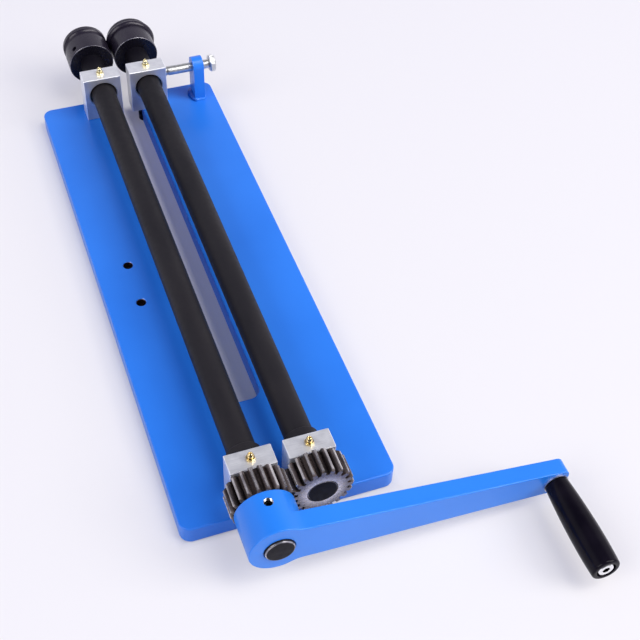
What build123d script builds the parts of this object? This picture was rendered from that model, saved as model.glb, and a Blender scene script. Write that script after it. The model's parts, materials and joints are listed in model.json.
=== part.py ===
"""Bead roller: two geared shafts on a throated base plate, with a hand crank and an adjustable upper shaft.

Frame: origin at the centre of the plate's underside, millimetres, +Z up.
+Y runs along the shafts from the crank end to the dies, +X from the fixed shaft to the adjustable shaft.
"""
import os
from math import acos, asin, cos, degrees, pi, radians, sin, sqrt, tan

from build123d import *

# Base plate
plate_length = 568.0
plate_width = 189.0
plate_thickness = 18.5
plate_corner_radius = 10.0
plate_edge_round = 1.4

# Throat that the sheet slides into
throat_depth = 453.5
throat_width = 32.0
throat_end_radius = 10.0

# Stand holes
stand_hole_diameter = 9.0
stand_hole_spacing = 51.5
stand_hole_x = -62.4
stand_hole_y = -1.0
stand_hole_chamfer = 0.8

# Shaft pair
pair_offset = -5.3
shaft_spacing = 50.0
shaft_diameter = 25.4
shaft_height = 30.5
shaft_end_chamfer = 1.4
lower_shaft_nose = 2.4
upper_shaft_nose = 0.2
running_clearance = 0.05
seat_clearance = 0.02

# Bearing blocks
block_width = 40.0
block_depth = 19.5
block_height = 51.1
block_edge_chamfer = 0.6
near_block_inset = 17.25
far_block_inset = 20.75
slide_gap = 0.15

# Bushes
bush_outer_diameter = 29.0
bush_recess = 2.2
bore_chamfer = 0.8

# Grease nipples
nipple_hex = 7.2
nipple_hex_height = 2.6
nipple_neck_diameter = 4.2
nipple_head_diameter = 5.6
nipple_height = 7.4
nipple_stem_diameter = 6.0
nipple_stem_length = 5.5

# Block screws, from below
screw_diameter = 6.0
screw_head_diameter = 10.0
screw_head_height = 6.0
screw_length = 23.5
screw_socket = 5.0
screw_socket_depth = 3.2
head_clearance = 0.4
head_sink = 0.5
tap_end_gap = 1.2
near_screw_reach = 12.0
far_screw_reach = 12.5
far_screw_inner_reach = 1.5

# Pivot and slide screws of the adjustable shaft
guide_screw_diameter = 8.0
guide_head_diameter = 13.0
guide_head_height = 8.0
guide_screw_length = 21.5
guide_socket = 6.0
guide_socket_depth = 4.2
guide_clearance = 0.08
slide_side_clearance = 0.4
slide_head_clearance = 0.6
slide_screw_offset = -5.5
opening_travel = 8.0
slide_end_room = 0.8

# Gears
gear_teeth = 20
gear_module = 2.5
gear_width = 24.0
gear_pressure_angle = 20.0
gear_tooth_thinning = 0.26
gear_dedendum_share = 1.35
gear_block_gap = 1.1
flank_points = 6

# Collars
collar_diameter = 31.0
collar_length = 11.0
collar_gap = 0.4
collar_edge_chamfer = 0.8

# Dies
die_standoff = 37.4
die_width = 38.4
die_bore_diameter = 22.0
die_edge_round = 1.0
lower_die_diameter = 48.4
lower_groove_depth = 2.7
lower_groove_width = 9.4
upper_body_diameter = 48.6
upper_land_diameter = 49.6
bead_height = 2.9
bead_width = 8.0
bead_from_near_face = 28.2

# Set screws
small_set_diameter = 6.0
small_set_length = 8.0
small_set_socket = 3.0
small_set_socket_depth = 2.6
large_set_diameter = 8.0
large_set_length = 9.0
large_set_socket = 4.0
large_set_socket_depth = 3.4
set_seat_depth = 0.6
die_screw_from_face = 8.0
lower_die_screw_angle = 131.4
upper_die_screw_angle = -60.0
collar_screw_angle = -75.0

# Crank
hub_diameter = 51.0
hub_length = 39.0
hub_gap = 1.0
hub_edge_round = 0.9
hub_bore_chamfer = 0.8
arm_thickness = 18.4
arm_tip_thickness = 15.0
arm_root_height = 41.4
arm_tip_height = 25.6
arm_overhang = 11.0
arm_tip_round = 6.0
arm_edge_round = 0.9
arm_blend_radius = 20.0
crank_radius = 245.0
crank_droop = 5.2
hub_screw_from_back = 10.6

# Revolving grip
grip_length = 86.4
grip_inner_diameter = 20.6
grip_swell_diameter = 26.2
grip_outer_diameter = 25.0
grip_inner_round = 1.5
grip_tip_round = 2.6
grip_swell_share = 0.72
grip_recess_diameter = 16.6
grip_recess_depth = 4.6
grip_running_clearance = 0.1
grip_end_gap = 0.3
spindle_diameter = 10.0
spindle_head_diameter = 13.8
spindle_head_height = 3.8
spindle_head_chamfer = 0.5
spindle_thread_diameter = 8.0
spindle_socket = 6.0
spindle_socket_depth = 2.6
washer_diameter = 22.0
washer_thickness = 1.5

# Adjuster
lug_thickness = 11.4
lug_width = 20.0
lug_height = 49.6
lug_edge_inset = 12.5
adjuster_height = 38.8
adjuster_diameter = 10.0
adjuster_pitch = 1.5
adjuster_hex = 17.0
adjuster_head_height = 6.4
adjuster_head_chamfer = 0.8
adjuster_head_gap = 8.1
lug_bore_clearance = 0.1
weld_leg = 2.6
weld_left_leg = 7.0
tip_diameter = 9.2
tip_length = 3.0
tip_stem_diameter = 5.0
tip_stem_length = 6.0
tip_gap = 0.2
tip_edge_chamfer = 0.5

# One overrun for every through cut
overrun = 2.0

# Places worked out from the sizes above
plate_near = -plate_length / 2
plate_far = plate_length / 2
lower_x = pair_offset - shaft_spacing / 2
upper_x = pair_offset + shaft_spacing / 2
axis_z = plate_thickness + shaft_height
near_block_y = plate_near + near_block_inset
far_block_y = plate_far - far_block_inset
block_half = block_depth / 2
gear_back_y = near_block_y - block_half - gear_block_gap
gear_front_y = gear_back_y - gear_width
hub_back_y = gear_front_y - hub_gap
hub_front_y = hub_back_y - hub_length
die_near_y = far_block_y + block_half + die_standoff
die_far_y = die_near_y + die_width
slide_x = upper_x + slide_screw_offset
adjuster_z = plate_thickness + adjuster_height
block_right_x = upper_x + block_width / 2
lug_right_x = plate_width / 2 - lug_edge_inset
lug_left_x = lug_right_x - lug_thickness
tip_face_x = block_right_x + tip_gap
screw_start_x = tip_face_x + tip_length
head_start_x = lug_right_x + adjuster_head_gap
bush_length = block_depth - 2 * bush_recess
pitch_radius = gear_module * gear_teeth / 2
handle_x = lower_x + crank_radius * cos(radians(crank_droop))
handle_z = axis_z - crank_radius * sin(radians(crank_droop))

LOW = Align.MIN
MID = Align.CENTER


def box_between(x0, x1, y0, y1, z0, z1):
    """A box from its two corners."""
    solid = Box(x1 - x0, y1 - y0, z1 - z0, align=(LOW, LOW, LOW))
    return Pos(x0, y0, z0) * solid


def rod_x(radius, x0, x1, y, z):
    """A round rod along X."""
    return Pos(x0, y, z) * Rot(0, 90, 0) * Cylinder(radius, x1 - x0, align=(MID, MID, LOW))


def rod_y(radius, y0, y1, x, z):
    """A round rod along Y."""
    return Pos(x, y0, z) * Rot(-90, 0, 0) * Cylinder(radius, y1 - y0, align=(MID, MID, LOW))


def rod_z(radius, z0, z1, x, y):
    """A round rod along Z."""
    return Pos(x, y, z0) * Cylinder(radius, z1 - z0, align=(MID, MID, LOW))


def hex_z(across_flats, z0, z1, x, y):
    """A hexagonal prism along Z."""
    face = RegularPolygon(across_flats / sqrt(3), 6)
    return Pos(x, y, z0) * extrude(face, z1 - z0)


def turned_y(points, x, z):
    """A solid of revolution about a line along Y, from (radius, y) points."""
    outline = make_face(Polyline(*[(r, y) for r, y in points], close=True))
    return Pos(x, 0, z) * revolve(outline, Axis.Y)


def cap_screw(x, y, head_z, diameter, head_diameter, head_height, length, socket, socket_depth):
    """A socket head screw pointing up, with its head's lower face at head_z."""
    head = rod_z(head_diameter / 2, head_z, head_z + head_height, x, y)
    shank = rod_z(diameter / 2, head_z + head_height, head_z + head_height + length, x, y)
    return head + shank - hex_z(socket, head_z, head_z + socket_depth, x, y)


def set_screw(diameter, length, socket, socket_depth):
    """A socket set screw along Z, point at zero and socket at the top."""
    body = Cylinder(diameter / 2, length, align=(MID, MID, LOW))
    return body - hex_z(socket, length - socket_depth, length, 0, 0)


def radial(solid, x, y, z, radius, angle):
    """Stands a solid made along Z on a shaft, pointing outwards at an angle in the XZ plane."""
    return Pos(x, y, z) * Rot(0, 90 - angle, 0) * Pos(0, 0, radius) * solid


def radial_hole(diameter, inner, outer, x, y, z, angle):
    """A radial drilling between two radii."""
    drill = Cylinder(diameter / 2, outer - inner, align=(MID, MID, LOW))
    return radial(drill, x, y, z, inner, angle)


def base_plate():
    """Thick plate with the open throat, the drillings for the blocks and the stand holes."""
    plate = extrude(Rectangle(plate_width, plate_length), plate_thickness)
    plate = fillet(plate.edges().filter_by(Axis.Z), plate_corner_radius)
    throat_y = plate_far - throat_depth
    throat = box_between(
        pair_offset - throat_width / 2, pair_offset + throat_width / 2,
        throat_y, plate_far + overrun, -overrun, plate_thickness + overrun,
    )
    inner = throat.edges().filter_by(Axis.Z).group_by(Axis.Y)[0]
    plate -= fillet(inner, min(throat_end_radius, throat_width * throat_end_limit_share))
    rim = plate.faces().sort_by(Axis.Z)[-1].edges() + plate.faces().sort_by(Axis.Z)[0].edges()
    plate = fillet(rim, plate_edge_round)
    for side in (-1, 1):
        plate -= stand_hole(stand_hole_y + side * stand_hole_spacing / 2)
    for x, y in fixed_screw_places():
        plate -= stepped_hole(x, y, screw_diameter, screw_head_diameter, screw_head_height)
    plate -= stepped_hole(upper_x, near_block_y, guide_screw_diameter, guide_head_diameter, guide_head_height)
    return plate - slide_channel()


throat_end_limit_share = 0.48


def stand_hole(y):
    """A through hole with a small countersink at the top."""
    radius = stand_hole_diameter / 2
    hole = rod_z(radius, -overrun, plate_thickness + overrun, stand_hole_x, y)
    cone = Cone(radius + stand_hole_chamfer, radius, stand_hole_chamfer, align=(MID, MID, LOW))
    return hole + Pos(stand_hole_x, y, plate_thickness) * Rot(180, 0, 0) * cone


def stepped_hole(x, y, diameter, head_diameter, head_height):
    """A screw hole with a counterbore from below."""
    seat = head_sink + head_height
    hole = rod_z(diameter / 2 + guide_clearance, -overrun, plate_thickness + overrun, x, y)
    return hole + rod_z(head_diameter / 2 + head_clearance, -overrun, seat, x, y)


def slide_channel():
    """A stepped slot from the throat wall, in which the slide screw travels."""
    x0 = pair_offset
    x1 = slide_x + opening_travel + slide_end_room
    narrow = guide_screw_diameter / 2 + slide_side_clearance
    wide = guide_head_diameter / 2 + slide_side_clearance
    seat = head_sink + guide_head_height + slide_head_clearance
    top = plate_thickness + overrun
    upper = box_between(x0, x1, far_block_y - narrow, far_block_y + narrow, -overrun, top)
    upper += rod_z(narrow, -overrun, top, x1, far_block_y)
    lower = box_between(x0, x1, far_block_y - wide, far_block_y + wide, -overrun, seat)
    return upper + lower + rod_z(wide, -overrun, seat, x1, far_block_y)


def fixed_screw_places():
    """Centres of the four screws under the fixed blocks."""
    return [
        (lower_x - near_screw_reach, near_block_y),
        (lower_x + near_screw_reach, near_block_y),
        (lower_x - far_screw_reach, far_block_y),
        (lower_x + far_screw_inner_reach, far_block_y),
    ]


def bearing_block(x, y, lift, screws):
    """A milled block with its bore, its nipple hole and its tapped holes from below."""
    z0 = plate_thickness + lift
    z1 = plate_thickness + block_height
    block = box_between(
        x - block_width / 2, x + block_width / 2, y - block_half, y + block_half, z0, z1,
    )
    block = chamfer(block.edges(), block_edge_chamfer)
    bore = bush_outer_diameter / 2
    block -= rod_y(bore, y - block_half - overrun, y + block_half + overrun, x, axis_z)
    flare = Cone(bore + bore_chamfer, bore, bore_chamfer, align=(MID, MID, LOW))
    block -= Pos(x, y - block_half, axis_z) * Rot(-90, 0, 0) * flare
    block -= Pos(x, y + block_half, axis_z) * Rot(90, 0, 0) * flare
    block -= rod_z(nipple_stem_diameter / 2, axis_z, z1 + overrun, x, y)
    for px, diameter, top in screws:
        block -= rod_z(diameter / 2, z0 - overrun, top + tap_end_gap, px, y)
    return block


def bush(x, y):
    """A plain bush, set back from both faces of its block, with a grease hole."""
    outer = bush_outer_diameter / 2 - seat_clearance
    inner = shaft_diameter / 2 + running_clearance
    y0 = y - bush_length / 2
    y1 = y + bush_length / 2
    ring = rod_y(outer, y0, y1, x, axis_z) - rod_y(inner, y0 - overrun, y1 + overrun, x, axis_z)
    return ring - rod_z(nipple_neck_diameter / 2, axis_z, axis_z + bush_outer_diameter, x, y)


def nipple(x, y):
    """A grease nipple screwed into a block's top."""
    z0 = plate_thickness + block_height
    hexagon = hex_z(nipple_hex, z0, z0 + nipple_hex_height, x, y)
    stem = rod_z(nipple_stem_diameter / 2 - seat_clearance, z0 - nipple_stem_length, z0, x, y)
    head_radius = nipple_head_diameter / 2
    head_z = z0 + nipple_height - head_radius
    neck = rod_z(nipple_neck_diameter / 2, z0 + nipple_hex_height, head_z, x, y)
    return hexagon + stem + neck + Pos(x, y, head_z) * Sphere(head_radius)


def fixed_screw(x, y):
    """A block screw from below."""
    return cap_screw(
        x, y, head_sink, screw_diameter - 2 * seat_clearance, screw_head_diameter,
        screw_head_height, screw_length, screw_socket, screw_socket_depth,
    )


def guide_screw(x, y, lift):
    """A screw from below that holds an adjustable block down and lets it move."""
    return cap_screw(
        x, y, head_sink + lift, guide_screw_diameter - 2 * seat_clearance, guide_head_diameter,
        guide_head_height, guide_screw_length, guide_socket, guide_socket_depth,
    )


def screw_top(head_height, length):
    """Height of a screw's end."""
    return head_sink + head_height + length


def shaft(front_y, x, dimples):
    """A round shaft with a smaller spigot for its die and seats for its set screws."""
    radius = shaft_diameter / 2
    spigot = die_bore_diameter / 2 - seat_clearance
    c = shaft_end_chamfer
    bar = turned_y(
        [
            (0, front_y), (radius - c, front_y), (radius, front_y + c), (radius, die_near_y),
            (spigot, die_near_y), (spigot, die_far_y - c), (spigot - c, die_far_y), (0, die_far_y),
        ],
        x, axis_z,
    )
    for y, diameter, reach, angle in dimples:
        bar -= radial_hole(diameter, reach - set_seat_depth, reach + overrun, x, y, axis_z, angle)
    return bar


def involute(angle):
    """The involute function."""
    return tan(angle) - angle


def tooth_half_angle(radius, base_radius, pressure):
    """Half the angle that a tooth takes at a radius."""
    at_pitch = pi / (2 * gear_teeth) - gear_tooth_thinning / (2 * pitch_radius)
    there = acos(min(1, base_radius / radius))
    return at_pitch + involute(pressure) - involute(there)


def polar(radius, angle):
    """A point from its radius and its angle in radians."""
    return (radius * cos(angle), radius * sin(angle))


def gear_face(phase):
    """The outline of a spur gear; phase is the angle of one tooth, in degrees."""
    pressure = radians(gear_pressure_angle)
    base_radius = pitch_radius * cos(pressure)
    tip_radius = pitch_radius + gear_module
    root_radius = pitch_radius - gear_dedendum_share * gear_module
    start = max(base_radius, root_radius)
    steps = range(flank_points)
    radii = [start + (tip_radius - start) * k / (flank_points - 1) for k in steps]
    halves = [tooth_half_angle(r, base_radius, pressure) for r in radii]
    pitch = 2 * pi / gear_teeth
    edges = []
    for n in range(gear_teeth):
        mid = radians(phase) + n * pitch
        rise = [polar(r, mid - h) for r, h in zip(radii, halves)]
        fall = [polar(r, mid + h) for r, h in zip(radii, halves)][::-1]
        foot_in = polar(root_radius, mid - halves[0])
        foot_out = polar(root_radius, mid + halves[0])
        foot_next = polar(root_radius, mid + pitch - halves[0])
        edges.append(Line(foot_in, rise[0]))
        edges.append(Spline(*rise))
        edges.append(ThreePointArc(rise[-1], polar(tip_radius, mid), fall[0]))
        edges.append(Spline(*fall))
        edges.append(Line(fall[-1], foot_out))
        edges.append(ThreePointArc(foot_out, polar(root_radius, mid + pitch / 2), foot_next))
    return make_face(edges)


def spur_gear(x, phase, screw_angle):
    """A spur gear bored for its shaft, drilled between two teeth for its set screw."""
    blank = extrude(gear_face(phase), gear_width)
    gear = Pos(x, gear_back_y, axis_z) * Rot(90, 0, 0) * blank
    bore = shaft_diameter / 2 + seat_clearance
    gear -= rod_y(bore, gear_front_y - overrun, gear_back_y + overrun, x, axis_z)
    outer = pitch_radius + gear_module + overrun
    mid_y = (gear_front_y + gear_back_y) / 2
    return gear - radial_hole(small_set_diameter, 0, outer, x, mid_y, axis_z, screw_angle)


def collar(x):
    """A thrust collar on the inner side of a near block."""
    y0 = near_block_y + block_half + collar_gap
    y1 = y0 + collar_length
    ring = rod_y(collar_diameter / 2, y0, y1, x, axis_z)
    ring = chamfer(ring.edges().filter_by(GeomType.CIRCLE), collar_edge_chamfer)
    ring -= rod_y(shaft_diameter / 2 + seat_clearance, y0 - overrun, y1 + overrun, x, axis_z)
    outer = collar_diameter / 2 + overrun
    return ring - radial_hole(collar_screw_diameter, 0, outer, x, collar_mid_y, axis_z, collar_screw_angle)


collar_screw_diameter = 5.0
collar_screw_length = 2.6
collar_screw_socket = 2.5
collar_screw_socket_depth = 1.2
collar_mid_y = near_block_y + block_half + collar_gap + collar_length / 2


def arc_section(centre_y, reach, width, depth, count):
    """Points of a smooth ridge or hollow on a turned outline; depth is signed."""
    points = []
    for k in range(count + 1):
        along = k / count
        rise = depth * sin(pi * along) ** ridge_shape
        points.append((reach + rise, centre_y + (along - ridge_middle_share) * width))
    return points


ridge_shape = 0.7
ridge_middle_share = 0.5
ridge_points = 10


def lower_die():
    """The grooved die of the fixed shaft."""
    radius = lower_die_diameter / 2
    bore = die_bore_diameter / 2
    e = die_edge_round
    groove_y = die_near_y + bead_from_near_face
    groove = arc_section(groove_y, radius, lower_groove_width, -lower_groove_depth, ridge_points)
    die = turned_y(
        [(bore, die_near_y), (radius - e, die_near_y), (radius, die_near_y + e)] + groove
        + [(radius, die_far_y - e), (radius - e, die_far_y), (bore, die_far_y)],
        lower_x, axis_z,
    )
    outer = radius + overrun
    return die - radial_hole(
        small_set_diameter, 0, outer, lower_x, die_screw_y, axis_z, lower_die_screw_angle,
    )


def upper_die():
    """The beaded die of the adjustable shaft."""
    body = upper_body_diameter / 2
    land = upper_land_diameter / 2
    bore = die_bore_diameter / 2
    e = die_edge_round
    bead_y = die_near_y + bead_from_near_face
    bead = arc_section(bead_y, land, bead_width, bead_height, ridge_points)
    bead[0] = (body, bead[0][1])
    die = turned_y(
        [(bore, die_near_y), (body - e, die_near_y), (body, die_near_y + e)] + bead
        + [(land, die_far_y - e), (land - e, die_far_y), (bore, die_far_y)],
        upper_x, axis_z,
    )
    outer = body + overrun
    return die - radial_hole(
        small_set_diameter, 0, outer, upper_x, die_screw_y, axis_z, upper_die_screw_angle,
    )


die_screw_y = die_near_y + die_screw_from_face
hub_screw_y = hub_back_y - hub_screw_from_back
hub_screw_angle = 90.0


def small_set(x, y, reach, angle):
    """A small set screw whose point stands on a shaft's seat."""
    screw = set_screw(
        small_set_diameter - 2 * seat_clearance, small_set_length, small_set_socket, small_set_socket_depth,
    )
    return radial(screw, x, y, axis_z, reach - set_seat_depth, angle)


def collar_set(x):
    """A short set screw in a collar."""
    screw = set_screw(
        collar_screw_diameter - 2 * seat_clearance, collar_screw_length, collar_screw_socket,
        collar_screw_socket_depth,
    )
    return radial(screw, x, collar_mid_y, axis_z, shaft_diameter / 2 - set_seat_depth, collar_screw_angle)


def arm_outline():
    """The crank seen along the shaft: the hub's circle, the tapered arm and a blend between the two."""
    tip = crank_radius + arm_overhang
    root_half = arm_root_height / 2
    tip_half = arm_tip_height / 2
    arm = Polygon((0, -root_half), (tip, -tip_half), (tip, tip_half), (0, root_half), align=None)
    far_corners = arm.vertices().group_by(Axis.X)[-1]
    arm = fillet(far_corners, min(arm_tip_round, arm_tip_height * arm_tip_limit_share))
    outline = arm + Circle(hub_diameter / 2)
    meeting = [v for v in outline.vertices() if 0 < v.X < hub_diameter]
    return fillet(meeting, arm_blend_radius)


def lies_flat(edge):
    """True for an edge that runs round a face of the arm and not through its thickness."""
    return abs(edge.tangent_at(middle_share).Z) < flat_share


def arm_slab():
    """The arm with its front face at zero, thinning towards the grip."""
    tip = crank_radius + arm_overhang
    slab = extrude(arm_outline(), arm_thickness)
    thinning = Polygon((0, arm_thickness), (tip, arm_tip_thickness), (tip, arm_thickness), align=None)
    slab -= extrude(Plane.XZ.offset(-hub_diameter / 2) * thinning, hub_diameter)
    return fillet(slab.edges().filter_by(lies_flat), arm_edge_round)


def crank_arm():
    """The cast crank: hub, tapered arm and the tapped hole for the grip's spindle."""
    arm = Pos(lower_x, hub_front_y, axis_z) * Rot(0, crank_droop, 0) * Rot(-90, 0, 0) * arm_slab()
    hub = rod_y(hub_diameter / 2, hub_front_y, hub_back_y, lower_x, axis_z)
    hub = fillet(hub.edges().filter_by(GeomType.CIRCLE), hub_edge_round)
    crank = arm + hub
    bore = shaft_diameter / 2 + seat_clearance
    crank -= rod_y(bore, hub_front_y - overrun, hub_back_y + overrun, lower_x, axis_z)
    flare = Cone(bore + hub_bore_chamfer, bore, hub_bore_chamfer, align=(MID, MID, LOW))
    crank -= Pos(lower_x, hub_front_y, axis_z) * Rot(-90, 0, 0) * flare
    outer = hub_diameter / 2 + overrun
    crank -= radial_hole(large_set_diameter, 0, outer, lower_x, hub_screw_y, axis_z, hub_screw_angle)
    hole = spindle_thread_diameter / 2
    behind = hub_front_y + arm_thickness + overrun
    return crank - rod_y(hole, hub_front_y - overrun, behind, handle_x, handle_z)


middle_share = 0.5
flat_share = 0.5
arm_tip_limit_share = 0.45
grip_start_y = hub_front_y - washer_thickness - grip_end_gap
grip_end_y = grip_start_y - grip_length
recess_y = grip_end_y + grip_recess_depth


def hub_set():
    """The hub's set screw, sunk in its hole."""
    screw = set_screw(
        large_set_diameter - 2 * seat_clearance, large_set_length, large_set_socket, large_set_socket_depth,
    )
    return radial(screw, lower_x, hub_screw_y, axis_z, shaft_diameter / 2 - set_seat_depth, hub_screw_angle)


def handle_grip():
    """The revolving grip: a swelling tube with a recess for the spindle's head."""
    inner = grip_inner_diameter / 2
    swell = grip_swell_diameter / 2
    outer = grip_outer_diameter / 2
    bore = spindle_diameter / 2 + grip_running_clearance
    recess = grip_recess_diameter / 2
    swell_y = grip_start_y - grip_swell_share * grip_length
    side = Spline(
        (inner, grip_start_y - grip_inner_round), (swell, swell_y), (outer, grip_end_y + grip_tip_round),
    )
    cheek = outer - grip_tip_round
    lines = [
        Line((bore, grip_start_y), (inner - grip_inner_round, grip_start_y)),
        Line((inner - grip_inner_round, grip_start_y), (inner, grip_start_y - grip_inner_round)),
        side,
        RadiusArc((outer, grip_end_y + grip_tip_round), (cheek, grip_end_y), grip_tip_round),
        Line((cheek, grip_end_y), (recess, grip_end_y)),
        Line((recess, grip_end_y), (recess, recess_y)),
        Line((recess, recess_y), (bore, recess_y)),
        Line((bore, recess_y), (bore, grip_start_y)),
    ]
    return Pos(handle_x, 0, handle_z) * revolve(make_face(lines), Axis.Y)


def grip_spindle():
    """The shoulder screw that the grip turns on."""
    head_y = recess_y - grip_end_gap
    tip_y = head_y - spindle_head_height
    head = spindle_head_diameter / 2
    c = spindle_head_chamfer
    shank = spindle_diameter / 2
    thread = spindle_thread_diameter / 2 - seat_clearance
    shoulder_y = hub_front_y
    end_y = hub_front_y + arm_tip_thickness - c
    screw = turned_y(
        [
            (0, tip_y), (head - c, tip_y), (head, tip_y + c), (head, head_y), (shank, head_y),
            (shank, shoulder_y), (thread, shoulder_y), (thread, end_y - c), (thread - c, end_y), (0, end_y),
        ],
        handle_x, handle_z,
    )
    socket = Rot(-90, 0, 0) * hex_z(spindle_socket, 0, spindle_socket_depth, 0, 0)
    return screw - Pos(handle_x, tip_y, handle_z) * socket


def grip_washer():
    """The washer between the arm and the grip."""
    y0 = hub_front_y - washer_thickness
    bore = spindle_diameter / 2 + seat_clearance
    disc = rod_y(washer_diameter / 2, y0, hub_front_y, handle_x, handle_z)
    return disc - rod_y(bore, y0 - overrun, hub_front_y + overrun, handle_x, handle_z)


def adjuster_lug():
    """The upright lug for the adjusting screw, with a round top."""
    y0 = far_block_y - lug_width / 2
    y1 = far_block_y + lug_width / 2
    round_z = plate_thickness + lug_height - lug_width / 2
    lug = box_between(lug_left_x, lug_right_x, y0, y1, plate_thickness, round_z)
    lug += rod_x(lug_width / 2, lug_left_x, lug_right_x, far_block_y, round_z)
    hole = adjuster_diameter / 2 + lug_bore_clearance
    return lug - rod_x(hole, lug_left_x - overrun, lug_right_x + overrun, far_block_y, adjuster_z)


def lug_weld():
    """The fillet weld all round the lug's foot, heavier on the side of the shafts."""
    x = (lug_left_x + lug_right_x) / 2
    foot = Rectangle(lug_thickness + 2 * weld_leg, lug_width + 2 * weld_leg)
    foot = fillet(foot.vertices(), weld_leg * weld_corner_share)
    top = Rectangle(lug_thickness + weld_leg * weld_top_share, lug_width + weld_leg * weld_top_share)
    top = fillet(top.vertices(), weld_leg * weld_top_share * weld_top_corner_share)
    ring = loft([foot, Pos(0, 0, weld_leg) * top])
    ring = Pos(x, far_block_y, plate_thickness) * ring
    y0 = far_block_y - lug_width / 2
    y1 = far_block_y + lug_width / 2
    bead = rod_y(weld_left_leg, y0, y1, lug_left_x, plate_thickness)
    bead &= box_between(
        lug_left_x - weld_left_leg, lug_left_x, y0, y1, plate_thickness, plate_thickness + weld_left_leg,
    )
    return ring + bead - box_between(
        lug_left_x, lug_right_x, y0, y1, plate_thickness - overrun, plate_thickness + weld_leg + overrun,
    )


weld_corner_share = 0.9
weld_top_share = 0.3
weld_top_corner_share = 0.4


def adjuster_screw():
    """The hexagon head screw through the lug, bored for the thrust tip's stem."""
    radius = adjuster_diameter / 2
    screw = rod_x(radius, screw_start_x, head_start_x, far_block_y, adjuster_z)
    head = extrude(RegularPolygon(adjuster_hex / sqrt(3), 6), adjuster_head_height)
    corner = adjuster_hex / sqrt(3)
    dome = Cylinder(corner, adjuster_head_height, align=(MID, MID, LOW))
    dome = chamfer(dome.edges().group_by(Axis.Z)[-1], adjuster_head_chamfer)
    screw += Pos(head_start_x, far_block_y, adjuster_z) * Rot(0, 90, 0) * (head & dome)
    hole = tip_stem_diameter / 2 + running_clearance
    deep = screw_start_x + tip_stem_length + tip_gap
    return screw - rod_x(hole, screw_start_x - overrun, deep, far_block_y, adjuster_z)


def thrust_tip():
    """The tip that bears on the sliding block and stays still while the screw turns in it."""
    face = tip_diameter / 2
    tip = rod_x(face, tip_face_x, screw_start_x - tip_gap, far_block_y, adjuster_z)
    tip = chamfer(tip.edges().filter_by(GeomType.CIRCLE), tip_edge_chamfer)
    stem_end = screw_start_x + tip_stem_length
    return tip + rod_x(tip_stem_diameter / 2, screw_start_x - tip_gap, stem_end, far_block_y, adjuster_z)


def write(name, solid):
    """Writes one node."""
    export_step(solid, f"parts/{name}.step")


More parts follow.
